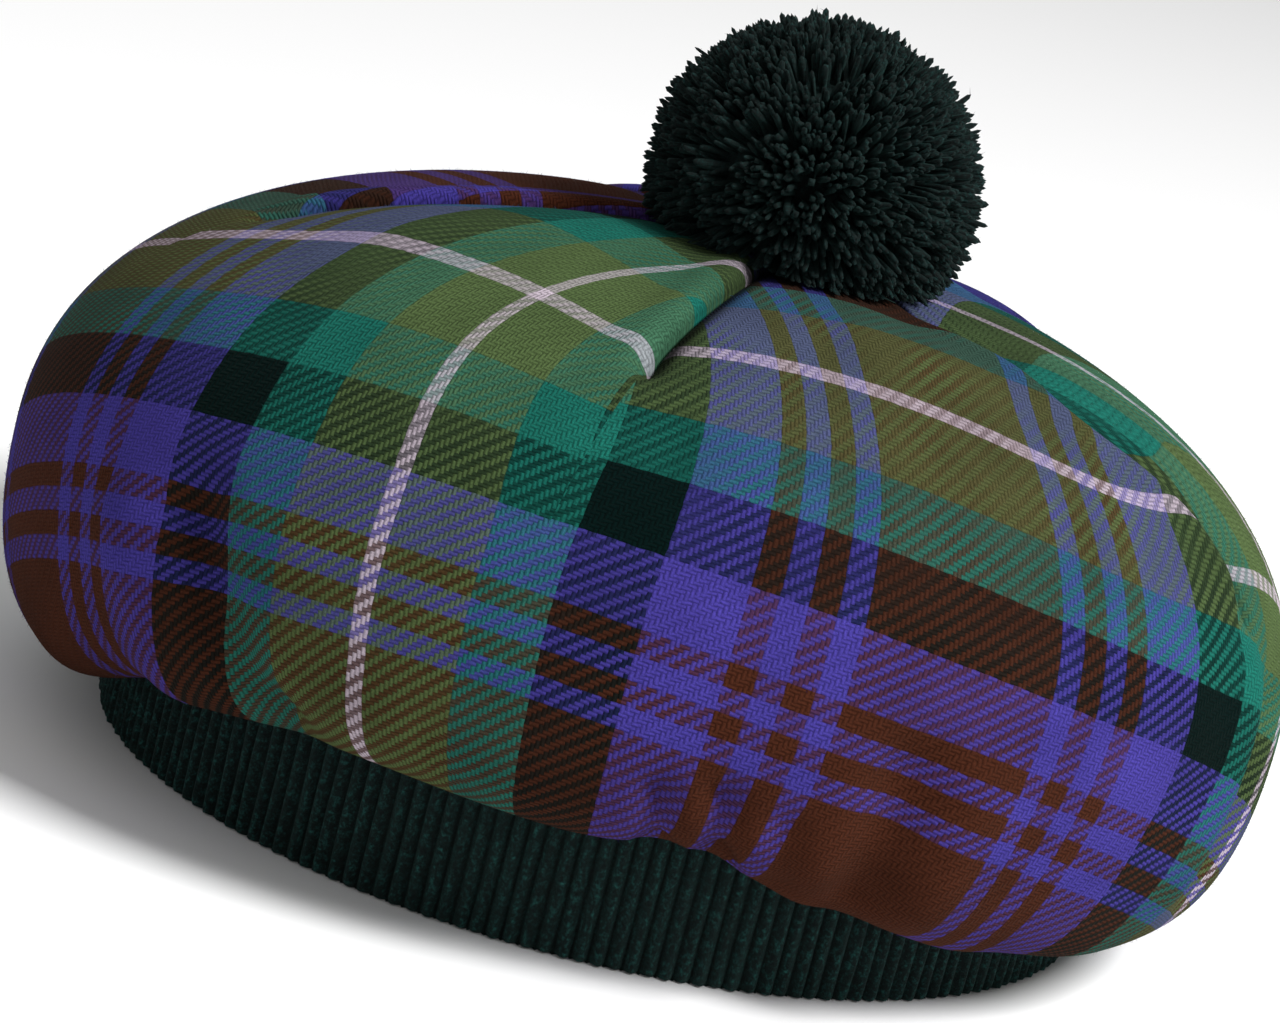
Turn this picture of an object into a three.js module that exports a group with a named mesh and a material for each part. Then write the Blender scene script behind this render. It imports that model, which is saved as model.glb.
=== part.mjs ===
// A tam o' shanter: a wide, soft cloth crown gathered onto a knitted band,
// with a yarn pompom on top. Millimetres, +Z up, front of the hat at -Y.
// The hat rests on the band's flat bottom edge at z = 0.
import * as THREE from "three";
import { mergeVertices } from "three/addons/utils/BufferGeometryUtils.js";

// ---- driving dimensions (mm) ----
const BAND_R = 94.5;          // outer radius of the knitted band
const BAND_WALL = 4.6;        // a doubled rib knit
const BAND_H = 39.0;          // full height, most of it under the crown's fold
const BAND_EDGE = 1.3;        // rounding of the band's edges
const CROWN_TOP = 109.5;      // apex of the cloth under the pompom
const CROWN_R = 119.5;        // widest radius
const CROWN_WIDE_Z = 45.2;    // height of the widest ring
const TOP_POWER = 2.26;       // superellipse power of the domed top
const SIDE_POWER = 2.3;       // and of the side down to the fold
const CLOTH = 2.0;            // wall of the cloth
const FOLD_R = 104.0;         // radius of the lower fold
const EDGE_Z = 36.0;          // where the cloth meets the band's top
const GAP = 0.3;              // clearance between neighbouring pieces
const POM_R = 30.5;           // pompom outer radius
const POM_X = 11.0;           // the pompom leans to the right
const POM_Z = 122.0;          // height of its centre
const POM_GAP = 0.5;          // clearance over the cloth

// ---- mesh steps ----
const TURN_STEPS = 80;
const TOP_STEPS = 13;
const SIDE_STEPS = 6;
const RETURN_STEPS = 4;
const POM_TURN = 28;
const POM_RISE = 14;

// How low the fold hangs round the head. azimuth 0 is the front, + is to +X.
// columns: azimuth (deg), height of the fold's lowest line (mm)
const FOLD_HEIGHTS = [
  [-180, 20.0],
  [-135, 14.0],
  [-90, 11.0],
  [-64, 13.0],
  [-42, 24.0],
  [-20, 27.5],
  [-2, 26.5],
  [9, 28.0],
  [22, 21.5],
  [39, 15.5],
  [56, 12.5],
  [90, 11.0],
  [135, 14.0],
  [180, 20.0],
];

// Dents (-) and humps (+) of the cloth, each along a short straight run.
// columns: from [x, y, z], to [x, y, z], half width (mm), depth (mm)
const DENTS = [
  { name: "dart front", from: [6, -24, 108], to: [-11, -80, 96], wide: 5.0, deep: -2.0 },
  { name: "dart right", from: [38, -6, 107], to: [95, -42, 80], wide: 5.0, deep: -2.0 },
  { name: "dart back right", from: [30, 22, 107], to: [64, 66, 90], wide: 5.0, deep: -2.0 },
  { name: "dart back left", from: [-6, 24, 107], to: [-46, 80, 90], wide: 5.0, deep: -2.0 },
  { name: "dart left", from: [-16, -2, 108], to: [-92, -16, 88], wide: 5.0, deep: -2.0 },
  { name: "lobe left front", from: [-74, -94, 56], to: [-67, -98, 30], wide: 6.0, deep: -3.4 },
  { name: "lobe right front", from: [47, -109, 52], to: [46, -108, 28], wide: 10.0, deep: -2.2 },
  { name: "crease", from: [-28, -116, 38], to: [-24, -115, 30], wide: 4.0, deep: -1.0 },
  { name: "pucker a", from: [10, -119, 40], to: [12, -108, 29], wide: 3.4, deep: -1.5 },
  { name: "pucker b", from: [20, -118, 41], to: [22, -107, 29], wide: 3.4, deep: -1.5 },
  { name: "hollow by pompom", from: [33, -18, 107], to: [50, -14, 105], wide: 7.0, deep: -1.6 },
  { name: "ridge by pompom", from: [28, -44, 105], to: [52, -36, 103], wide: 9.0, deep: 1.2 },
  { name: "fold right", from: [112, -48, 52], to: [106, -46, 28], wide: 6.0, deep: -2.6 },
  { name: "lobe right back", from: [92, 77, 52], to: [84, 70, 26], wide: 8.0, deep: -2.6 },
  { name: "lobe back", from: [-14, 119, 52], to: [-14, 110, 30], wide: 9.0, deep: -2.4 },
  { name: "lobe left back", from: [-98, 68, 52], to: [-90, 62, 26], wide: 8.0, deep: -2.6 },
];

const rad = (deg) => (deg * Math.PI) / 180;

function smooth(t) {
  return t * t * (3 - 2 * t);
}

// height of the fold at an azimuth, eased between the rows
function foldHeight(az) {
  let i = 0;
  while (i < FOLD_HEIGHTS.length - 2 && az > FOLD_HEIGHTS[i + 1][0]) {
    i += 1;
  }
  const [a0, z0] = FOLD_HEIGHTS[i];
  const [a1, z1] = FOLD_HEIGHTS[i + 1];
  const t = Math.min(1, Math.max(0, (az - a0) / (a1 - a0)));
  return z0 + (z1 - z0) * smooth(t);
}

// the undented profile: t 0..1 top, 1..2 side, 2..3 back up to the band
function profile(t, az) {
  const low = foldHeight(az);
  if (t <= 1) {
    const a = (t * Math.PI) / 2;
    const r = CROWN_R * Math.pow(Math.sin(a), 2 / TOP_POWER);
    const c = Math.max(0, Math.cos(a));
    return [r, CROWN_WIDE_Z + (CROWN_TOP - CROWN_WIDE_Z) * Math.pow(c, 2 / TOP_POWER)];
  }
  if (t <= 2) {
    const a = ((t - 1) * Math.PI) / 2;
    const c = Math.max(0, Math.cos(a));
    const r = FOLD_R + (CROWN_R - FOLD_R) * Math.pow(c, 2 / SIDE_POWER);
    return [r, CROWN_WIDE_Z - (CROWN_WIDE_Z - low) * Math.pow(Math.sin(a), 2 / SIDE_POWER)];
  }
  const a = ((t - 2) * Math.PI) / 2;
  const inner = BAND_R + GAP;
  const r = FOLD_R - (FOLD_R - inner) * Math.sin(a);
  return [r, low + (EDGE_Z - low) * (1 - Math.cos(a))];
}

function plainPoint(t, az) {
  const [r, z] = profile(t, az);
  const a = rad(az);
  return new THREE.Vector3(r * Math.sin(a), -r * Math.cos(a), z);
}

function plainNormal(t, az) {
  const e = 0.004;
  const t0 = Math.max(0.02, Math.min(2.99, t));
  const along = plainPoint(t0 + e, az).sub(plainPoint(t0 - e, az));
  const round = plainPoint(t0, az + 0.5).sub(plainPoint(t0, az - 0.5));
  const n = along.cross(round).normalize();
  return t < 0.02 ? new THREE.Vector3(0, 0, 1) : n;
}

function distanceToRun(p, from, to) {
  const a = new THREE.Vector3(...from);
  const d = new THREE.Vector3(...to).sub(a);
  const s = Math.min(1, Math.max(0, p.clone().sub(a).dot(d) / d.lengthSq()));
  return p.distanceTo(a.addScaledVector(d, s));
}

// sum of the dents at a point; none on the edge sewn to the band
function dent(p, t) {
  let sum = 0;
  for (const row of DENTS) {
    const d = distanceToRun(p, row.from, row.to) / row.wide;
    sum += row.deep * Math.exp(-d * d);
  }
  return sum * Math.min(1, Math.max(0, 2.25 - t) / 0.25);
}

function crownPoint(t, az, inset) {
  const p = plainPoint(t, az);
  const n = plainNormal(t, az);
  return p.addScaledVector(n, dent(p, t) - inset);
}

// t of each ring, apex left out
function ringList() {
  const list = [];
  for (let i = 1; i <= TOP_STEPS; i += 1) {
    list.push(Math.pow(i / TOP_STEPS, 1.12));
  }
  for (let i = 1; i <= SIDE_STEPS; i += 1) {
    list.push(1 + i / SIDE_STEPS);
  }
  for (let i = 1; i <= RETURN_STEPS; i += 1) {
    list.push(2 + i / RETURN_STEPS);
  }
  return list;
}

// a closed skin from rings of points, each ring a full turn
function skin(rings, startPole, endPole) {
  const points = rings.flat();
  const n = rings[0].length;
  const index = [];
  for (let k = 0; k + 1 < rings.length; k += 1) {
    for (let j = 0; j < n; j += 1) {
      const a = k * n + j;
      const b = k * n + ((j + 1) % n);
      index.push(a, a + n, b);
      index.push(b, a + n, b + n);
    }
  }
  const last = (rings.length - 1) * n;
  const first = points.push(startPole) - 1;
  const end = points.push(endPole) - 1;
  for (let j = 0; j < n; j += 1) {
    const k = (j + 1) % n;
    index.push(first, j, k);
    index.push(end, last + k, last + j);
  }
  return solid(points, index);
}

function solid(points, index) {
  const g = new THREE.BufferGeometry();
  const flat = points.flatMap((p) => [p.x, p.y, p.z]);
  g.setAttribute("position", new THREE.Float32BufferAttribute(flat, 3));
  g.setIndex(index);
  return g;
}

function azimuths() {
  const list = [];
  for (let j = 0; j < TURN_STEPS; j += 1) {
    list.push(-180 + (360 * j) / TURN_STEPS);
  }
  return list;
}

// the cloth crown: outside from the apex to the sewn edge, then the inside back up
function crown() {
  const turn = azimuths();
  const list = ringList();
  const outside = list.map((t) => turn.map((az) => crownPoint(t, az, 0)));
  const inside = list.map((t) => turn.map((az) => crownPoint(t, az, CLOTH)));
  inside.reverse();
  const rings = outside.concat(inside);
  return skin(rings, crownPoint(0, 0, 0), crownPoint(0, 0, CLOTH));
}

// the band: a ring with softly rounded edges and flat top and bottom
function knitBand() {
  const ri = BAND_R - BAND_WALL;
  const e = BAND_EDGE;
  const section = [
    [ri + e, 0],
    [BAND_R - e, 0],
    [BAND_R - 0.35, 0.4],
    [BAND_R, e],
    [BAND_R, BAND_H - e],
    [BAND_R - e, BAND_H],
    [ri + e, BAND_H],
    [ri, BAND_H - e],
    [ri, e],
    [ri + 0.35, 0.4],
  ];
  const points = [];
  for (const [r, z] of section) {
    for (const az of azimuths()) {
      const a = rad(az);
      points.push(new THREE.Vector3(r * Math.sin(a), -r * Math.cos(a), z));
    }
  }
  const n = TURN_STEPS;
  const m = section.length;
  const index = [];
  for (let k = 0; k < m; k += 1) {
    for (let j = 0; j < n; j += 1) {
      const a = k * n + j;
      const b = k * n + ((j + 1) % n);
      const c = ((k + 1) % m) * n + j;
      const d = ((k + 1) % m) * n + ((j + 1) % n);
      index.push(a, b, c);
      index.push(b, d, c);
    }
  }
  return solid(points, index);
}

// height of the cloth's outside above a spot in plan
function clothTop(x, y) {
  const r = Math.hypot(x, y);
  const c = Math.pow(Math.min(1, r / CROWN_R), TOP_POWER);
  const plain = CROWN_WIDE_Z + (CROWN_TOP - CROWN_WIDE_Z) * Math.pow(1 - c, 1 / TOP_POWER);
  return plain;
}

// the pompom: a ball flattened underneath where it sits on the cloth
function pompom() {
  const rings = [];
  for (let i = 1; i < POM_RISE; i += 1) {
    const a = (Math.PI * i) / POM_RISE;
    const ring = [];
    for (let j = 0; j < POM_TURN; j += 1) {
      const b = (2 * Math.PI * j) / POM_TURN;
      const x = POM_X + POM_R * Math.sin(a) * Math.sin(b);
      const y = -POM_R * Math.sin(a) * Math.cos(b);
      const z = POM_Z + POM_R * Math.cos(a);
      ring.push(new THREE.Vector3(x, y, Math.max(z, clothTop(x, y) + POM_GAP)));
    }
    rings.push(ring);
  }
  const top = new THREE.Vector3(POM_X, 0, POM_Z + POM_R);
  const under = new THREE.Vector3(POM_X, 0, clothTop(POM_X, 0) + POM_GAP);
  return skin(rings, top, under);
}

function cloth(name, geometry, colour) {
  const material = new THREE.MeshStandardMaterial({ color: colour, roughness: 0.95, metalness: 0 });
  material.name = name;
  const mesh = new THREE.Mesh(mergeVertices(geometry, 1e-4), material);
  mesh.name = name;
  return mesh;
}

const group = new THREE.Group();
group.name = "tam_o_shanter";
group.add(cloth("crown", crown(), 0x4a3a38));
group.add(cloth("knit_band", knitBand(), 0x1c2e26));
group.add(cloth("pompom", pompom(), 0x14241d));

export default group;
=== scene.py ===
# %% [markdown]
# A tam o' shanter is a flat, round Scottish hat. Three pieces are sewn together: a wide
# crown of checked wool, a knitted band that grips the head, and a pompom of cut yarn.
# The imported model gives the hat's true size and place, and everything here is built
# round it in metres. Lengths below are in millimetres, as a hatter would say them, and
# one factor turns them to metres when a mesh is made.

# %% Load the fixed frame
import math

import bmesh
import bpy
import numpy as np
from mathutils import Matrix, Vector


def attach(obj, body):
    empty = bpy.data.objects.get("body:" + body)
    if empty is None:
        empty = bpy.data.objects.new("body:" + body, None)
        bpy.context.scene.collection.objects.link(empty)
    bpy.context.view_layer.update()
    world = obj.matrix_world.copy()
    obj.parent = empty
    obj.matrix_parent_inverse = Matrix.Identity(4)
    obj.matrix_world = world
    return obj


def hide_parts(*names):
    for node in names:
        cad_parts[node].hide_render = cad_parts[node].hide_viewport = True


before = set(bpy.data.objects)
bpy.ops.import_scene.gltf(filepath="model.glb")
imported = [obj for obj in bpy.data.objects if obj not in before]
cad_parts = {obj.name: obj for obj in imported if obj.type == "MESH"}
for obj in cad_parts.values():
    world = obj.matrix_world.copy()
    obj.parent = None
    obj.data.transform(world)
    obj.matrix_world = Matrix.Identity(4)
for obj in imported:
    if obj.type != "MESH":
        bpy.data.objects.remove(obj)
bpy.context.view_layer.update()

MM = 0.001

# %% [markdown]
# The camera comes first. It looks a little down at the front of the hat, from 0.8 m,
# and it is rolled so that the hat leans to the right in the picture. A long lens keeps
# the crown's outline from bulging.

# %% Camera
CAMERA_DISTANCE = 800 * MM
CAMERA_HEIGHT_ANGLE = math.radians(13.95)
CAMERA_ROLL = math.radians(14.61)
CAMERA_AIM = Vector((-4.4, 0, 54.7)) * MM
CAMERA_LENS = 121.6

toward = Vector((0, -math.cos(CAMERA_HEIGHT_ANGLE), math.sin(CAMERA_HEIGHT_ANGLE)))
right = Vector((1, 0, 0))
up = toward.cross(right)
camera_x = math.cos(CAMERA_ROLL) * right + math.sin(CAMERA_ROLL) * up
camera_y = toward.cross(camera_x)
camera_turn = Matrix((camera_x, camera_y, toward)).transposed().to_4x4()
camera_data = bpy.data.cameras.new("camera")
camera_data.lens = CAMERA_LENS
camera_data.sensor_width = 36
camera = bpy.data.objects.new("camera", camera_data)
camera.matrix_world = Matrix.Translation(CAMERA_AIM + CAMERA_DISTANCE * toward) @ camera_turn
bpy.context.collection.objects.link(camera)
bpy.context.scene.camera = camera
print("camera at", [round(x, 3) for x in camera.matrix_world.translation])

# %% [markdown]
# Two small helpers serve every finish. Colours are chosen as sRGB hex, the numbers that
# a paint chart gives, and a shader wants linear light, so one function converts them.
# The other adds a node, sets it, and links or fills its inputs.


# %% Helpers for colours and nodes
def linear(hex_colour):
    """An sRGB colour such as '#5a3522' as linear RGBA."""
    values = [int(hex_colour[i:i + 2], 16) / 255 for i in (1, 3, 5)]
    line = [v / 12.92 if v <= 0.04045 else ((v + 0.055) / 1.055) ** 2.4 for v in values]
    return (*line, 1.0)


def add_node(tree, kind, inputs=(), **settings):
    """Add a node; inputs maps a socket's name or number to a value or another socket."""
    node = tree.nodes.new(kind)
    for name, value in settings.items():
        setattr(node, name, value)
    for key, value in dict(inputs).items():
        if isinstance(value, bpy.types.NodeSocket):
            tree.links.new(value, node.inputs[key])
        else:
            node.inputs[key].default_value = value
    return node


def new_material(name):
    """A material with an empty node tree, an output and a Principled shader."""
    material = bpy.data.materials.new(name)
    material.use_nodes = True
    tree = material.node_tree
    tree.nodes.clear()
    shader = add_node(tree, "ShaderNodeBsdfPrincipled")
    add_node(tree, "ShaderNodeOutputMaterial", {"Surface": shader.outputs["BSDF"]})
    return material, tree, shader


def math_node(tree, operation, a, b=0.0):
    """One step of arithmetic, as a socket."""
    inputs = {0: a, 1: b}
    return add_node(tree, "ShaderNodeMath", inputs, operation=operation).outputs[0]


def deselect_all():
    for other in bpy.context.selected_objects:
        other.select_set(False)


def finish_piece(piece, node):
    """Let a piece ride with the hat in place of its plain solid."""
    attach(piece, "root")
    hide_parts(node)
    print(piece.name, len(piece.data.polygons), "faces")


# %% [markdown]
# The crown is one sheet of wool. Its round top swells out to the widest ring, turns
# under in a soft fold that hangs lower at the sides than at the front, and runs back up
# to the band. Each of these three stretches is a smooth curve from the pompom outwards,
# so a point of the cloth is named by two numbers: how far along that curve it lies (0
# to 1 top, 1 to 2 side, 2 to 3 return) and its direction round the pompom.

# %% Shape of the crown
CROWN_TOP = 109.5
CROWN_RADIUS = 119.5
WIDEST_HEIGHT = 45.2
TOP_POWER = 2.26
SIDE_POWER = 2.3
FOLD_RADIUS = 104.0
EDGE_RADIUS = 95.0
EDGE_HEIGHT = 36.0
POMPOM_X = 11.0
WALL = 2.0

# direction (degrees, 0 is the front, + to the right), height of the fold's lowest line (mm)
FOLD_HEIGHTS = np.array([
    (-180, 20.0), (-135, 14.0), (-90, 11.0), (-64, 13.0), (-42, 24.0), (-20, 27.5),
    (-2, 26.5), (9, 28.0), (22, 21.5), (39, 15.5), (56, 12.5), (90, 11.0), (135, 14.0),
    (180, 20.0),
])


def ease(t):
    t = np.clip(t, 0, 1)
    return t * t * (3 - 2 * t)


def fold_height(direction):
    """How low the fold hangs, eased between the rows of the table."""
    turn = (direction + 180) % 360 - 180
    at, height = FOLD_HEIGHTS.T
    i = np.clip(np.searchsorted(at, turn, side="right") - 1, 0, len(at) - 2)
    t = (turn - at[i]) / (at[i + 1] - at[i])
    return height[i] + (height[i + 1] - height[i]) * ease(t)


def dome_height(radius):
    rest = 1 - np.clip(radius / CROWN_RADIUS, 0, 1) ** TOP_POWER
    return WIDEST_HEIGHT + (CROWN_TOP - WIDEST_HEIGHT) * np.clip(rest, 0, 1) ** (1 / TOP_POWER)


def smooth_crown(t, direction):
    """Points of the undented crown, in mm."""
    quarter = math.pi / 2
    low = fold_height(direction)
    top_radius = CROWN_RADIUS * np.sin(np.clip(t, 0, 1) * quarter) ** (2 / TOP_POWER)
    turn = np.clip(t - 1, 0, 1) * quarter
    cosine = np.clip(np.cos(turn), 0, 1)
    side_radius = FOLD_RADIUS + (CROWN_RADIUS - FOLD_RADIUS) * cosine ** (2 / SIDE_POWER)
    side_height = WIDEST_HEIGHT - (WIDEST_HEIGHT - low) * np.sin(turn) ** (2 / SIDE_POWER)
    turn = np.clip(t - 2, 0, 1) * quarter
    back_radius = FOLD_RADIUS - (FOLD_RADIUS - EDGE_RADIUS) * np.sin(turn)
    back_height = low + (EDGE_HEIGHT - low) * (1 - np.cos(turn))
    radius = np.where(t <= 1, top_radius, np.where(t <= 2, side_radius, back_radius))
    lean = POMPOM_X * np.clip(1 - top_radius / CROWN_RADIUS, 0, 1) * (t <= 1)
    angle = np.radians(direction)
    x = radius * np.sin(angle) + lean
    y = -radius * np.cos(angle)
    top = dome_height(np.hypot(x, y))
    z = np.where(t <= 1, top, np.where(t <= 2, side_height, back_height))
    return np.stack([x, y, z], -1)


# %% [markdown]
# Cloth that is gathered onto a band never lies smooth. The dents and humps are a short
# table of runs: each is a straight line through the hat, a half width and a depth.
# Five darts take in the slack of the top. A dart is a stitched wedge, so the cloth dips
# sharply into its seam and swells beside it, and it ends in a small dimple.

# %% Dents, humps and darts
# from (x, y, z), to (x, y, z), half width, depth (mm; + is a hump)
DENTS = [
    ("lobe left front", (-76, -91, 58), (-54, -102, 29), 6.0, -4.6),
    ("swell left front", (-88, -80, 50), (-74, -88, 28), 8.0, 2.0),
    ("lobe right front", (48, -109, 50), (46, -106, 26), 6.0, -4.0),
    ("swell right front", (60, -102, 48), (57, -100, 27), 7.0, 1.8),
    ("crease", (-28, -116, 38), (-24, -115, 30), 3.0, -1.2),
    ("pucker a", (10, -119, 40), (12, -108, 27), 2.8, -3.4),
    ("pucker b", (20, -118, 42), (22, -107, 26), 2.8, -3.6),
    ("pucker c", (32, -115, 38), (33, -106, 25), 3.6, -2.2),
    ("hollow by pompom", (33, -18, 107), (50, -14, 105), 7.0, -1.8),
    ("ridge by pompom", (28, -44, 105), (52, -36, 103), 9.0, 1.4),
    ("hump left", (-18, -14, 109), (-56, -34, 103), 13.0, 1.6),
    ("fold right", (113, -38, 58), (104, -46, 28), 6.0, -3.0),
    ("ridge right", (106, -48, 64), (101, -61, 31), 6.0, 2.0),
    ("lobe right back", (92, 77, 52), (84, 70, 26), 8.0, -2.6),
    ("lobe back", (-14, 119, 52), (-14, 110, 30), 9.0, -2.4),
    ("lobe left back", (-98, 68, 52), (-90, 62, 26), 8.0, -2.6),
]
# direction (degrees), how far from the pompom it runs (mm)
DARTS = [("front", -10, 80), ("right", 60, 112), ("back right", 136, 96),
         ("back left", -152, 96), ("left", -80, 98)]


def distance_to_run(points, start, end):
    a, d = np.array(start, float), np.array(end, float) - np.array(start, float)
    along = np.clip(((points - a) @ d) / (d @ d), 0, 1)
    return np.linalg.norm(points - a - along[..., None] * d, axis=-1)


def dart_relief(reach, direction, radius):
    """Depth of the five darts: a sharp seam, a swell on its left, a dimple at the end, and a mask of
    painted shadow along each seam.
    """
    total = np.zeros_like(reach)
    crease = np.zeros_like(reach)
    for _, at, end in DARTS:
        off = (direction - at + 180) % 360 - 180
        across = np.radians(off) * radius
        held = ease((end - reach) / 12 + 0.3)
        seam = -2.8 * np.exp(-np.abs(across) / 0.7) - 0.4 * np.exp(-(across / 7) ** 2)
        step = -1.3 * np.exp(-np.clip(across, 0, 40) / 6) * (across > 0)
        swell = 1.5 * np.exp(-((across + 3.5) / 4) ** 2) + step
        dimple = -2.8 * np.exp(-(across / 2.6) ** 2 - ((reach - end + 2) / 4) ** 2)
        near = np.abs(off) < 34
        total += near * (held * (seam + swell) + dimple)
        # crease is painted shadow: a dark line 1.5 mm to the right of each dart's seam, fading out
        # at the dart's end
        crease += near * held * np.exp(-((across - 1.5) / 1.5) ** 2)
    return total, np.clip(crease, 0, 1)


# %% [markdown]
# The check repeats every 240 threads, the same in both directions, and it is mirrored
# about a white line of 4 threads. To lay it on the crown, each point needs its place in
# the flat cloth. Below the darts the cloth went round like the skin of a wide cone, so
# it is unrolled as a sector. Above them it is five panels that point at the pompom, each
# flat and turned a little from the next, and the darts hide the wedges between them. The
# two are blended, as wool gives a little, and one seam closes the sector at the back.

# %% From the crown to the flat cloth, in threads
THREAD = 0.68            # mm of flat cloth to a thread, with the take-up of the darts
SECTOR_FRONT = 1.4       # direction in which the cloth's grain runs straight down
SECTOR_SHARE = 0.38      # degrees of flat sector to a degree round the hat
SECTOR_INNER = 120.8     # mm from the sector's point to the pompom
SECTOR_ACROSS = 59.2     # threads
SECTOR_DOWN = 118.4
BLEND = (16.4, 129.0)    # mm from the pompom
# from (degrees), the threads across and down at the pompom, direction of the grain
PANELS = np.array([
    (-188, -102, -221, -105), (-152, -65, -169, -71), (-80, -22, -85, -43),
    (-10, 97, -79, 17), (60, 240, -98, 84), (136, 210, -202, 96),
])
# where the cloth is eased down: direction, reach, spread of each, threads
EASED = (70, 88, 12, 26, 9)


def cloth_threads(reach, direction, face_direction):
    """Threads across and down the flat cloth for points of the crown."""
    panel = PANELS[np.searchsorted(PANELS[:, 0], face_direction, side="right") - 1]
    off = np.radians(direction - panel[..., 3])
    panel_across = panel[..., 1] + reach * np.sin(off) / THREAD
    panel_down = panel[..., 2] + reach * np.cos(off) / THREAD
    swing = np.radians(SECTOR_SHARE * (direction - SECTOR_FRONT))
    out = SECTOR_INNER + reach
    sector_across = SECTOR_ACROSS + out * np.sin(swing) / THREAD
    sector_down = (out * np.cos(swing) - SECTOR_INNER) / THREAD - SECTOR_DOWN
    w = ease((reach - BLEND[0]) / (BLEND[1] - BLEND[0]))
    across = panel_across * (1 - w) + sector_across * w
    down = panel_down * (1 - w) + sector_down * w
    at, out_at, spread, out_spread, threads = EASED
    near = np.exp(-((direction - at) / spread) ** 2 - ((reach - out_at) / out_spread) ** 2)
    down += np.where(face_direction < 60, threads, -threads) * near
    return across, down


# %% [markdown]
# The sheet starts as a flat grid, as cloth does on a table: one column to each degree
# and a row every 2 mm or so. It is wrapped to the crown's shape, its two long edges and
# its point are merged, and Solidify gives it the thickness of the wool. The threads are
# kept as a UV map, which is what a UV map is for: a place in the flat cloth.

# %% Wrap a grid into the crown
COLUMNS = 440
DART_FINENESS = 2.6      # how much closer the columns stand at a dart, and for how far
DART_SPREAD = 3.0        # degrees
DART_BEND = 9.0          # degrees by which the right dart curves to the back
ROWS = 98
BACK_SEAM = -188.0
TOP_SHARE = 0.64         # share of the rows on the top
SIDE_SHARE = 0.24


def wrap_position(share):
    """Rows spread over the top, the side and the return."""
    top = share / TOP_SHARE
    side = 1 + (share - TOP_SHARE) / SIDE_SHARE
    back = 2 + (share - TOP_SHARE - SIDE_SHARE) / (1 - TOP_SHARE - SIDE_SHARE)
    t = np.where(share < TOP_SHARE, top ** 1.1, np.where(side < 2, side, back))
    return np.clip(t, 0, 3)


def outward(points):
    """Unit normals of a grid of points, rows by columns."""
    along = np.gradient(points, axis=0)
    round_it = np.gradient(points, axis=1)
    n = np.cross(round_it, along)
    n /= np.linalg.norm(n, axis=-1, keepdims=True) + 1e-12
    n[0] = (0, 0, 1)
    return np.where((n[40:41, :, 2:] < 0), -n, n)


def column_directions():
    """Directions of the columns, which crowd together at the darts."""
    even = BACK_SEAM + np.linspace(0, 360, 7201)
    density = np.ones_like(even)
    for _, at, _ in DARTS:
        density += DART_FINENESS * np.exp(-((even - at) / DART_SPREAD) ** 2)
    total = np.concatenate([[0], np.cumsum((density[1:] + density[:-1]) / 2)])
    return np.interp(np.linspace(0, total[-1], COLUMNS + 1), total, even)


shares = np.linspace(0, 1, ROWS + 1)
directions = column_directions()
t_grid = np.repeat(wrap_position(shares)[:, None], COLUMNS + 1, axis=1)
column_grid = np.repeat(directions[None, :], ROWS + 1, axis=0)
bend = ease((t_grid - 0.28) / 0.3) * np.exp(-((column_grid - 60) / 30) ** 2)
direction_grid = column_grid + DART_BEND * bend
plain = smooth_crown(t_grid, direction_grid)
steps = np.linalg.norm(np.diff(plain, axis=0), axis=-1)
reach_grid = np.concatenate([np.zeros((1, COLUMNS + 1)), np.cumsum(steps, axis=0)])
from_pole = np.hypot(plain[..., 0] - POMPOM_X * (t_grid < 1) * 0.5, plain[..., 1])
relief, seam_shadow_grid = dart_relief(reach_grid, column_grid, from_pole)
for _, start, end, width, depth in DENTS:
    relief += depth * np.exp(-(distance_to_run(plain, start, end) / width) ** 2)
relief *= np.clip((2.35 - t_grid) / 0.35, 0, 1)
crown_points = plain + outward(plain) * relief[..., None]
print("cloth from pompom to edge, mm:", round(float(reach_grid[-1].mean()), 1))

deselect_all()
bpy.ops.mesh.primitive_grid_add(x_subdivisions=COLUMNS, y_subdivisions=ROWS, size=2)
crown = bpy.context.object
crown.name = "checked_wool_crown"
crown.data.name = crown.name
flat = np.empty(len(crown.data.vertices) * 3)
crown.data.vertices.foreach_get("co", flat)
flat = flat.reshape(-1, 3)
column = np.rint((flat[:, 0] + 1) / 2 * COLUMNS).astype(int)
row = np.rint((flat[:, 1] + 1) / 2 * ROWS).astype(int)
crown.data.vertices.foreach_set("co", (crown_points[row, column] * MM).ravel())

# the crease attribute carries the painted shadow along the dart seams to the wool shader
crease = crown.data.attributes.new("crease", "FLOAT", "POINT")
crease.data.foreach_set("value", seam_shadow_grid[row, column].astype(np.float32))

corner_vertex = np.empty(len(crown.data.loops), int)
crown.data.loops.foreach_get("vertex_index", corner_vertex)
corner_column = column[corner_vertex].reshape(-1, 4)
corner_row = row[corner_vertex].reshape(-1, 4)
face_direction = directions[corner_column].mean(axis=1, keepdims=True)
across, down = cloth_threads(
    reach_grid[corner_row, corner_column],
    direction_grid[corner_row, corner_column],
    np.repeat(face_direction, 4, axis=1),
)
threads = crown.data.uv_layers[0]
threads.name = "threads"
threads.data.foreach_set("uv", np.stack([across, down], -1).ravel())

# %% Close the crown and give it thickness
crown.matrix_world = Matrix.Identity(4)
bpy.ops.object.mode_set(mode="EDIT")
bpy.ops.mesh.select_all(action="SELECT")
bpy.ops.mesh.remove_doubles(threshold=0.02 * MM)
bpy.ops.mesh.normals_make_consistent(inside=False)
bpy.ops.object.mode_set(mode="OBJECT")
cloth_area = sum(face.area for face in crown.data.polygons)
print("cloth in the crown, square metres:", round(cloth_area, 4))
wool = crown.modifiers.new("thickness", "SOLIDIFY")
wool.thickness = WALL * MM
wool.offset = -1
bpy.ops.object.modifier_apply(modifier=wool.name)
bpy.ops.object.shade_smooth()
finish_piece(crown, "crown")

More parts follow.
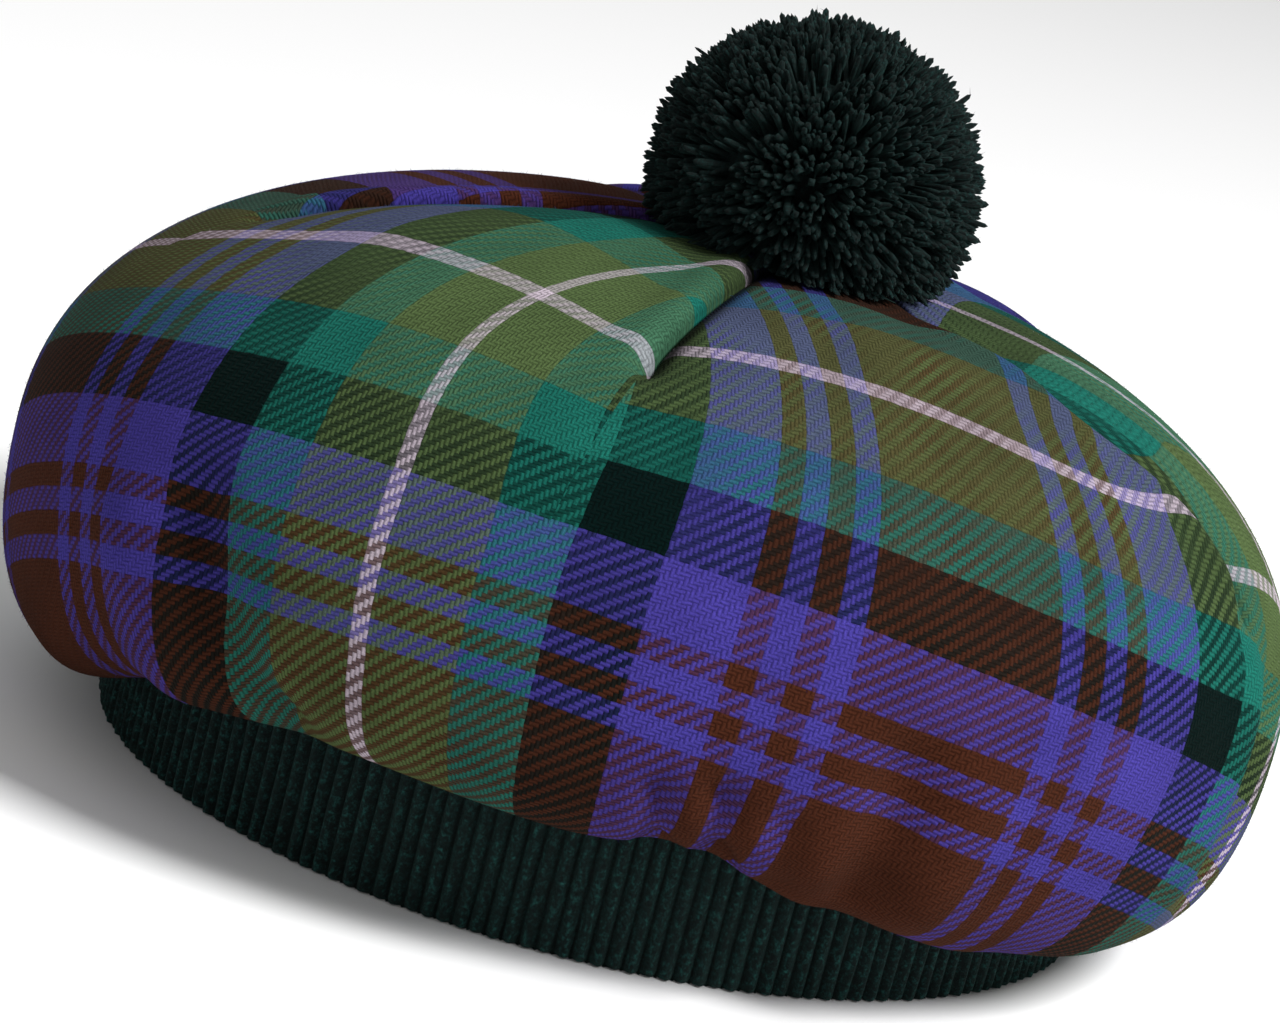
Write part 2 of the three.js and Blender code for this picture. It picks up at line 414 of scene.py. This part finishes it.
# %% [markdown]
# The cloth is a brushed wool twill, woven two over, two under, with each pick stepped
# one thread along, which is what draws the slanting lines. In the shader a thread's
# number is the whole part of its UV. A colour ramp gives that thread its dye, and a test
# on the sum of the two numbers says which thread is on top. Where both have one colour
# the cloth looks solid, and where they differ it is striped by the twill. Brushing lifts
# a nap, which is drawn as fine noise, a little sheen and soft bumps.

# %% Brushed wool twill
REPEAT_HALF = 120
# thread at which each dye starts, counted from the middle of the white line
DYES = {
    "white": "#a89ca6", "olive": "#445532", "teal": "#14584d", "bottle": "#02100f",
    "violet": "#38307a", "rust": "#3a1d12",
}
SETT = (
    (0, "white"), (2, "olive"), (22, "teal"), (38, "bottle"), (56, "violet"), (74, "rust"),
    (80, "violet"), (86, "rust"), (92, "violet"), (98, "rust"),
)
wool_twill, tree, wool_shader = new_material("wool_twill_brushed")
uv = add_node(tree, "ShaderNodeUVMap", uv_map="threads").outputs[0]
wander = add_node(tree, "ShaderNodeTexNoise", {"Vector": uv, "Scale": 0.35, "Detail": 3.0})
shift = add_node(tree, "ShaderNodeVectorMath",
                 {0: wander.outputs["Color"], 1: (0.5, 0.5, 0.5)}, operation="SUBTRACT")
loose = add_node(tree, "ShaderNodeVectorMath",
                 {0: shift.outputs[0], "Scale": 0.7}, operation="SCALE")
moved = add_node(tree, "ShaderNodeVectorMath", {0: uv, 1: loose.outputs[0]}, operation="ADD")
split = add_node(tree, "ShaderNodeSeparateXYZ", {0: moved.outputs[0]})


def dyed(number):
    """The dye of a thread, from its number."""
    middle = math_node(tree, "ADD", number, 0.5)
    mirrored = math_node(tree, "PINGPONG", middle, REPEAT_HALF)
    share = math_node(tree, "DIVIDE", mirrored, REPEAT_HALF)
    ramp = add_node(tree, "ShaderNodeValToRGB", {0: share})
    ramp.color_ramp.interpolation = "CONSTANT"
    stops = ramp.color_ramp.elements
    while len(stops) < len(SETT):
        stops.new(1.0)
    for stop, (start, dye) in zip(stops, SETT):
        stop.position = start / REPEAT_HALF
        stop.color = linear(DYES[dye])
    return ramp.outputs[0]


warp_number = math_node(tree, "FLOOR", split.outputs[0])
weft_number = math_node(tree, "FLOOR", split.outputs[1])
total = math_node(tree, "ADD", warp_number, weft_number)
step = math_node(tree, "FLOORED_MODULO", total, 4.0)
warp_on_top = math_node(tree, "LESS_THAN", step, 1.5)
place = add_node(tree, "ShaderNodeTexCoord").outputs["Object"]
height_up = add_node(tree, "ShaderNodeSeparateXYZ", {0: place}).outputs[2]
tufty = add_node(tree, "ShaderNodeTexNoise", {"Vector": uv, "Scale": 0.04, "Detail": 4.0})
nap_cover = add_node(tree, "ShaderNodeMapRange",
                     {"Value": height_up, "From Min": 62 * MM, "From Max": 104 * MM,
                      "To Min": 0.36, "To Max": 0.85}).outputs[0]
nap_cover = math_node(tree, "MULTIPLY", nap_cover, math_node(tree, "MULTIPLY",
                      tufty.outputs[0], 2.0))
warp_share = add_node(tree, "ShaderNodeMix",
                      {0: nap_cover, 2: warp_on_top, 3: 0.5}).outputs[0]
weave = add_node(tree, "ShaderNodeMix",
                 {0: warp_share, 6: dyed(weft_number), 7: dyed(warp_number)},
                 data_type="RGBA")
print("threads to the repeat:", 2 * REPEAT_HALF)

# %% Relief, nap and painted shade of the wool
warp_round = math_node(tree, "SINE", math_node(tree, "MULTIPLY",
                       math_node(tree, "FRACT", split.outputs[0]), math.pi))
weft_round = math_node(tree, "SINE", math_node(tree, "MULTIPLY",
                       math_node(tree, "FRACT", split.outputs[1]), math.pi))
thread_relief = add_node(tree, "ShaderNodeMix", {0: warp_on_top, 2: weft_round, 3: warp_round})
nap = add_node(tree, "ShaderNodeTexNoise",
               {"Vector": uv, "Scale": 1.7, "Detail": 5.0, "Roughness": 0.75})
cloud = add_node(tree, "ShaderNodeTexNoise", {"Vector": uv, "Scale": 0.05, "Detail": 3.0})
nap_light = add_node(tree, "ShaderNodeMapRange",
                     {"Value": nap.outputs[0], "From Min": 0.3, "From Max": 0.7,
                      "To Min": 0.62, "To Max": 1.45})
# painted shade: each thread's colour is darkened towards its edges, where it dips beside the next
# round thread, and made a little lighter along its middle
groove_shade = add_node(tree, "ShaderNodeMapRange",
                  {"Value": thread_relief.outputs[0], "To Min": 0.62, "To Max": 1.12})
cloud_light = add_node(tree, "ShaderNodeMapRange",
                       {"Value": cloud.outputs[0], "From Min": 0.3, "From Max": 0.7,
                        "To Min": 0.88, "To Max": 1.12})
light = math_node(tree, "MULTIPLY", nap_light.outputs[0], groove_shade.outputs[0])
light = math_node(tree, "MULTIPLY", light, cloud_light.outputs[0])
# painted shadow: the cloth is darkened by up to 93% along the dart seams, from the crease attribute
painted_seam_shadow = add_node(tree, "ShaderNodeAttribute", attribute_name="crease").outputs["Fac"]
light = math_node(tree, "MULTIPLY", light,
                  math_node(tree, "SUBTRACT", 1.0, math_node(tree, "MULTIPLY", painted_seam_shadow, 0.93)))
wool_colour = add_node(tree, "ShaderNodeVectorMath",
                       {0: weave.outputs[2], "Scale": light}, operation="SCALE")
height = math_node(tree, "MULTIPLY_ADD", nap.outputs[0], 0.9)
height.node.inputs[2].default_value = 0.0
tree.links.new(thread_relief.outputs[0], height.node.inputs[2])
bump = add_node(tree, "ShaderNodeBump", {"Height": height, "Strength": 0.55,
                                         "Distance": 0.35 * MM})
tree.links.new(wool_colour.outputs[0], wool_shader.inputs["Base Color"])
tree.links.new(bump.outputs[0], wool_shader.inputs["Normal"])
wool_shader.inputs["Roughness"].default_value = 0.95
wool_shader.inputs["Specular IOR Level"].default_value = 0.02
wool_shader.inputs["Sheen Weight"].default_value = 0.015
wool_shader.inputs["Sheen Roughness"].default_value = 0.6
wool_shader.inputs["Sheen Tint"].default_value = linear("#b9c2b4")
crown.data.materials.clear()
crown.data.materials.append(wool_twill)

# %% [markdown]
# The band is a rib knit: upright cords of stitches with narrow valleys between them. It
# is a ring whose section runs up the outside, over the top and down the inside, so the
# grid is wrapped round that section, and the ribs are pressed into it. Wool yarn is never
# quite even, so each rib wanders and swells a little.

# %% Ribbed band
BAND_RADIUS = 94.5
BAND_WALL = 4.6
BAND_HEIGHT = 39.0
RIBS = 196
RIB_STEPS = 6
RIB_DEPTH = 1.7
STITCH = 2.5
band_section = [(BAND_RADIUS, z) for z in np.arange(1.2, BAND_HEIGHT - 1, 1.25)]
band_section += [(BAND_RADIUS - 1.3, BAND_HEIGHT), (BAND_RADIUS - BAND_WALL + 1.3, BAND_HEIGHT)]
band_section += [(BAND_RADIUS - BAND_WALL, z) for z in np.arange(BAND_HEIGHT - 2, 1, -2.5)]
band_section += [(BAND_RADIUS - BAND_WALL + 1.2, 0.05), (BAND_RADIUS - 1.3, 0.05),
                 (BAND_RADIUS - 0.3, 0.4)]
band_section = np.array(band_section)
section_steps = len(band_section)
band_columns = RIBS * RIB_STEPS

deselect_all()
bpy.ops.mesh.primitive_grid_add(x_subdivisions=band_columns, y_subdivisions=section_steps, size=2)
band = bpy.context.object
band.name = "rib_knit_band"
band.data.name = band.name
flat = np.empty(len(band.data.vertices) * 3)
band.data.vertices.foreach_get("co", flat)
flat = flat.reshape(-1, 3)
column = np.rint((flat[:, 0] + 1) / 2 * band_columns).astype(int)
row = np.rint((flat[:, 1] + 1) / 2 * section_steps).astype(int)
radius, z = band_section[row % section_steps].T
rng = np.random.default_rng(11)
angle = 2 * math.pi * (column % band_columns) / band_columns
rib = (column % band_columns) // RIB_STEPS
rib_swell = rng.normal(0, 0.10, RIBS)[rib]
rib_sway = rng.normal(0, 0.25, (RIBS, 3))[rib]
phase = (column % RIB_STEPS) / RIB_STEPS
cord = np.sin(math.pi * phase)
stitch = 0.14 * np.sin(2 * math.pi * z / STITCH + math.pi * rib)
wave = rib_sway[:, 0] * np.sin(z / 7) + rib_sway[:, 1] * np.cos(z / 11)
press = RIB_DEPTH * (cord - 1) + (rib_swell + stitch) * cord - 0.2
facing = np.where(radius > BAND_RADIUS - BAND_WALL / 2, 1, -1)
radius = radius + facing * press
angle = angle + wave * cord / BAND_RADIUS
band.data.vertices.foreach_set("co", (np.stack(
    [radius * np.sin(angle), -radius * np.cos(angle), z], -1) * MM).ravel())
band.matrix_world = Matrix.Identity(4)
bpy.ops.object.mode_set(mode="EDIT")
bpy.ops.mesh.select_all(action="SELECT")
bpy.ops.mesh.remove_doubles(threshold=0.005 * MM)
bpy.ops.mesh.normals_make_consistent(inside=False)
bpy.ops.object.mode_set(mode="OBJECT")
bpy.ops.object.shade_smooth()
finish_piece(band, "knit_band")

# %% [markdown]
# Knitting yarn for the band and the pompom is the same bottle green wool. Up close it is
# not one green: fibres of green and near black are carded together, so the colour is a
# mix by noise at the scale of a fibre, and its lightest teal flecks are painted glints. The nap
# hides all gloss.


# %% Bottle green wool yarn
def yarn_material(name, dark, green, glint, scale, bump_depth, painted_valley_shade=False):
    material, tree, shader = new_material(name)
    place = add_node(tree, "ShaderNodeTexCoord").outputs["Object"]
    fibre = add_node(tree, "ShaderNodeTexNoise",
                     {"Vector": place, "Scale": scale, "Detail": 6.0, "Roughness": 0.8})
    blend = add_node(tree, "ShaderNodeValToRGB", {0: fibre.outputs[0]})
    stops = blend.color_ramp.elements
    stops[0].position, stops[0].color = 0.38, linear(dark)
    # the glint colour is a painted highlight, scattered by noise among the fibre colours
    stops[1].position, stops[1].color = 0.66, linear(glint)
    stops.new(0.52).color = linear(green)
    bump = add_node(tree, "ShaderNodeBump", {"Height": fibre.outputs[0], "Strength": 0.8,
                                             "Distance": bump_depth * MM})
    colour = blend.outputs[0]
    # painted shade: the yarn is darkened to a quarter near the middle of the wall, which is in the
    # valleys between the ribs, and made up to a quarter lighter on the rib crowns
    if painted_valley_shade:
        flat_place = add_node(tree, "ShaderNodeVectorMath", {0: place, 1: (1, 1, 0)},
                              operation="MULTIPLY")
        out = add_node(tree, "ShaderNodeVectorMath", {0: flat_place.outputs[0]},
                       operation="LENGTH").outputs["Value"]
        middle = math_node(tree, "SUBTRACT", out, (BAND_RADIUS - BAND_WALL / 2) * MM)
        shade = add_node(tree, "ShaderNodeMapRange",
                         {"Value": math_node(tree, "ABSOLUTE", middle), "From Min": 0.5 * MM,
                          "From Max": 2.0 * MM, "To Min": 0.25, "To Max": 1.25})
        colour = add_node(tree, "ShaderNodeVectorMath",
                          {0: colour, "Scale": shade.outputs[0]}, operation="SCALE").outputs[0]
    tree.links.new(colour, shader.inputs["Base Color"])
    tree.links.new(bump.outputs[0], shader.inputs["Normal"])
    shader.inputs["Roughness"].default_value = 0.9
    shader.inputs["Specular IOR Level"].default_value = 0.2
    shader.inputs["Sheen Weight"].default_value = 0.15
    shader.inputs["Sheen Tint"].default_value = linear("#4f8f86")
    return material


band_yarn = yarn_material("wool_rib_knit", "#020707", "#071817", "#1b4b47", 1100.0, 0.7, painted_valley_shade=True)
band.data.materials.clear()
band.data.materials.append(band_yarn)

# %% [markdown]
# A pompom is thousands of yarn ends tied at the middle and trimmed to a ball. One end is
# modelled: a short round cord that is thin at the root and full at the cut. It is then
# copied over the ball. Neighbours lean together in tufts, lengths differ a little, and
# those underneath are pressed flat by the cloth.

# %% One yarn end
POMPOM_RADIUS = 30.5
POMPOM_HEIGHT = 122.0
YARN_SIDES = 4
YARN_RINGS = (0.0, 0.6, 0.88, 1.0)
deselect_all()
bpy.ops.mesh.primitive_cylinder_add(vertices=YARN_SIDES, radius=1, depth=1,
                                    end_fill_type="TRIFAN", location=(0, 0, 0.5))
end = bpy.context.object
bpy.ops.object.mode_set(mode="EDIT")
edit = bmesh.from_edit_mesh(end.data)
upright = [e for e in edit.edges if abs(e.verts[0].co.z - e.verts[1].co.z) > 0.5]
bmesh.ops.subdivide_edges(edit, edges=upright, cuts=len(YARN_RINGS) - 2, use_grid_fill=False)
bmesh.update_edit_mesh(end.data)
bpy.ops.object.mode_set(mode="OBJECT")
end_points = np.array([v.co for v in end.data.vertices]) + (0, 0, 0.5)
level = np.rint(end_points[:, 2] * (len(YARN_RINGS) - 1)).astype(int)
end_points[:, 2] = np.array(YARN_RINGS)[level]
cut_middle = (level == len(YARN_RINGS) - 1) & (np.hypot(*end_points[:, :2].T) < 0.1)
end_points[cut_middle, 2] += 0.035
end.data.calc_loop_triangles()
end_faces = np.array([t.vertices for t in end.data.loop_triangles])
bpy.data.objects.remove(end)
print("one yarn end:", len(end_faces), "triangles")

# %% Thousands of ends
YARN_COUNT = 5600
rng = np.random.default_rng(7)
i = np.arange(YARN_COUNT) + 0.5
polar = np.arccos(1 - 2 * i / YARN_COUNT)
around = math.pi * (1 + 5 ** 0.5) * i
aim = np.stack([np.cos(around) * np.sin(polar), np.sin(around) * np.sin(polar),
                np.cos(polar)], -1)
aim += rng.normal(0, 0.035, aim.shape)
tuft_centres = rng.normal(0, 1, (420, 3))
tuft_centres /= np.linalg.norm(tuft_centres, axis=1, keepdims=True)
aim /= np.linalg.norm(aim, axis=1, keepdims=True)
nearest = np.argmax(aim @ tuft_centres.T, axis=1)
lean = tuft_centres[nearest] - aim
tip_aim = aim + lean * rng.uniform(0.1, 0.7, (YARN_COUNT, 1)) + rng.normal(0, 0.05, aim.shape)
parting = np.array([-0.12, -0.62, 0.77])
gap = aim - parting * (aim @ parting)[:, None]
closeness = np.exp(-np.linalg.norm(aim - parting, axis=1) ** 2 / 0.05)
tip_aim += 0.25 * gap / (np.linalg.norm(gap, axis=1, keepdims=True) + 0.1) * closeness[:, None]
tip_aim /= np.linalg.norm(tip_aim, axis=1, keepdims=True)
length = POMPOM_RADIUS - 0.6 + rng.normal(0, 0.75, YARN_COUNT) - 1.2 * closeness
root, tip = aim * 14.0, tip_aim * length[:, None]
side = np.cross(tip - root, rng.normal(0, 1, aim.shape))
side /= np.linalg.norm(side, axis=1, keepdims=True)
other = np.cross(tip - root, side)
other /= np.linalg.norm(other, axis=1, keepdims=True)
along = end_points[:, 2]
full = np.interp(along, YARN_RINGS, (0.4, 0.6, 0.68, 0.5))
swell = rng.uniform(0.6, 1.25, (YARN_COUNT, 1))
bow = rng.normal(0, 1.6, (YARN_COUNT, 1, 1)) * (along * (1 - along) * 2)[None, :, None]
ends = root[:, None] + (tip - root)[:, None] * along[None, :, None] + side[:, None] * bow
twist_x = (end_points[:, 0] * full)[None] * swell
twist_y = (end_points[:, 1] * full)[None] * swell
ends = ends + side[:, None] * twist_x[..., None] + other[:, None] * twist_y[..., None]

# %% The core, and the pompom as one piece
deselect_all()
bpy.ops.mesh.primitive_ico_sphere_add(subdivisions=4, radius=23.0)
core = bpy.context.object
core_points = np.array([v.co for v in core.data.vertices])
core_faces = np.array([p.vertices for p in core.data.polygons])
bpy.data.objects.remove(core)
count = len(end_points)
faces = (end_faces[None] + (np.arange(YARN_COUNT) * count)[:, None, None]).reshape(-1, 3)
faces = np.concatenate([faces, core_faces + YARN_COUNT * count])
points = np.concatenate([ends.reshape(-1, 3), core_points]) + (POMPOM_X, 0, POMPOM_HEIGHT)
floor_of_cloth = dome_height(np.hypot(points[:, 0], points[:, 1])) + 0.7
points[:, 2] = np.maximum(points[:, 2], floor_of_cloth + 0.02 * (points[:, 2] - floor_of_cloth))
mesh = bpy.data.meshes.new("yarn_pompom")
mesh.from_pydata((points * MM).tolist(), [], faces.tolist())
mesh.validate()
pompom = bpy.data.objects.new("yarn_pompom", mesh)
bpy.context.collection.objects.link(pompom)
deselect_all()
pompom.select_set(True)
bpy.context.view_layer.objects.active = pompom
bpy.ops.object.shade_smooth()
pompom_yarn = yarn_material("wool_yarn_cut", "#010303", "#040c0c", "#123432", 1500.0, 0.5)
pompom.data.materials.append(pompom_yarn)
finish_piece(pompom, "pompom")

# %% [markdown]
# Wool is never bare at its outline: short hairs stand out of it and soften every edge. A
# hair is the thinnest closed solid there is, four triangles that taper to a point. It
# is rooted a little under the surface and combed at random, and it keeps the UV of the
# thread that it grows from, so it has that thread's dye.


# %% Hairs of the nap
def grow_nap(name, source, material, count, length, thickness, stand, seed):
    """Scatter tapered hairs over the outer faces of a piece (lengths in mm)."""
    rng = np.random.default_rng(seed)
    source.data.calc_loop_triangles()
    triangles = source.data.loop_triangles
    corners = np.empty(len(triangles) * 3, int)
    triangles.foreach_get("vertices", corners)
    loops = np.empty(len(triangles) * 3, int)
    triangles.foreach_get("loops", loops)
    place = np.empty(len(source.data.vertices) * 3)
    source.data.vertices.foreach_get("co", place)
    corner_points = place.reshape(-1, 3)[corners].reshape(-1, 3, 3)
    cross = np.cross(corner_points[:, 1] - corner_points[:, 0],
                     corner_points[:, 2] - corner_points[:, 0])
    area = np.linalg.norm(cross, axis=1)
    normal = cross / (area[:, None] + 1e-18)
    middle = corner_points.mean(axis=1)
    outer = stand_test(middle, normal)
    picked = rng.choice(len(area), count, p=area * outer / (area * outer).sum())
    share = rng.dirichlet((1, 1, 1), count)
    root = (corner_points[picked] * share[..., None]).sum(axis=1)
    up_way = normal[picked]
    comb = np.cross(up_way, rng.normal(0, 1, (count, 3)))
    comb /= np.linalg.norm(comb, axis=1, keepdims=True)
    rise = rng.uniform(*stand, (count, 1))
    way = up_way * rise + comb * np.sqrt(1 - rise ** 2)
    across_way = np.cross(way, up_way)
    across_way /= np.linalg.norm(across_way, axis=1, keepdims=True)
    third = np.cross(across_way, way)
    size = rng.uniform(0.5, 1.3, (count, 1)) * length * MM
    root = root - up_way * 0.25 * MM
    ring = [root + thickness * MM * (math.cos(a) * across_way + math.sin(a) * third)
            for a in (0, 2 * math.pi / 3, 4 * math.pi / 3)]
    points = np.stack([*ring, root + way * size], axis=1).reshape(-1, 3)
    one = np.array([(0, 2, 1), (0, 1, 3), (1, 2, 3), (2, 0, 3)])
    faces = (one[None] + (np.arange(count) * 4)[:, None, None]).reshape(-1, 3)
    mesh = bpy.data.meshes.new(name)
    mesh.from_pydata(points.tolist(), [], faces.tolist())
    if source.data.uv_layers:
        source_uv = np.empty(len(source.data.loops) * 2)
        source.data.uv_layers[0].data.foreach_get("uv", source_uv)
        corner_uv = source_uv.reshape(-1, 2)[loops].reshape(-1, 3, 2)[picked]
        hair_uv = (corner_uv * share[..., None]).sum(axis=1)
        layer = mesh.uv_layers.new(name=source.data.uv_layers[0].name)
        layer.data.foreach_set("uv", np.repeat(hair_uv, 12, axis=0).ravel())
    hairs = bpy.data.objects.new(name, mesh)
    bpy.context.collection.objects.link(hairs)
    hairs.data.materials.append(material)
    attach(hairs, "root")
    print(name, len(faces), "triangles")


def stand_test(middle, normal):
    """1 for faces that look away from the hat's inside."""
    from_axis = middle * (1, 1, 0) / (np.linalg.norm(middle[:, :2], axis=1, keepdims=True) + 1e-9)
    inside = (np.einsum("ij,ij->i", from_axis, normal) < -0.2) & (middle[:, 2] < 100 * MM)
    under_top = (normal[:, 2] < -0.3) & (middle[:, 2] > 40 * MM)
    on_floor = middle[:, 2] < 2.5 * MM
    return np.where(inside | under_top | on_floor, 0.0, 1.0)


grow_nap("wool_nap", crown, wool_twill, 36000, 1.0, 0.05, (0.15, 0.8), 21)
grow_nap("band_nap", band, band_yarn, 20000, 1.1, 0.06, (0.3, 0.9), 22)
grow_nap("pompom_nap", pompom, pompom_yarn, 30000, 1.3, 0.06, (0.3, 0.95), 23)

# %% [markdown]
# The hat stands on its band on a plain pale floor. A large soft lamp above and to the
# right models the folds, and a pale sky fills the shade.

# %% Floor and light
deselect_all()
bpy.ops.mesh.primitive_plane_add(size=12)
floor = bpy.context.object
floor.name = "floor"
paper, tree, paper_shader = new_material("paper_matt_white")
paper_shader.inputs["Base Color"].default_value = linear("#f4f4f4")
paper_shader.inputs["Roughness"].default_value = 0.9
floor.data.materials.append(paper)

world = bpy.data.worlds.new("studio")
world.use_nodes = True
background = world.node_tree.nodes["Background"]
background.inputs[0].default_value = (1, 1, 1, 1)
background.inputs[1].default_value = 0.5
bpy.context.scene.world = world
bpy.context.scene.view_settings.view_transform = "Standard"


def softbox(name, place, size, power):
    data = bpy.data.lights.new(name, "AREA")
    data.size = size
    data.energy = power
    lamp = bpy.data.objects.new(name, data)
    lamp.location = place
    lamp.rotation_euler = (CAMERA_AIM - Vector(place)).to_track_quat("-Z", "Y").to_euler()
    bpy.context.collection.objects.link(lamp)


softbox("key", (1.6, -0.9, 2.0), 0.8, 96)
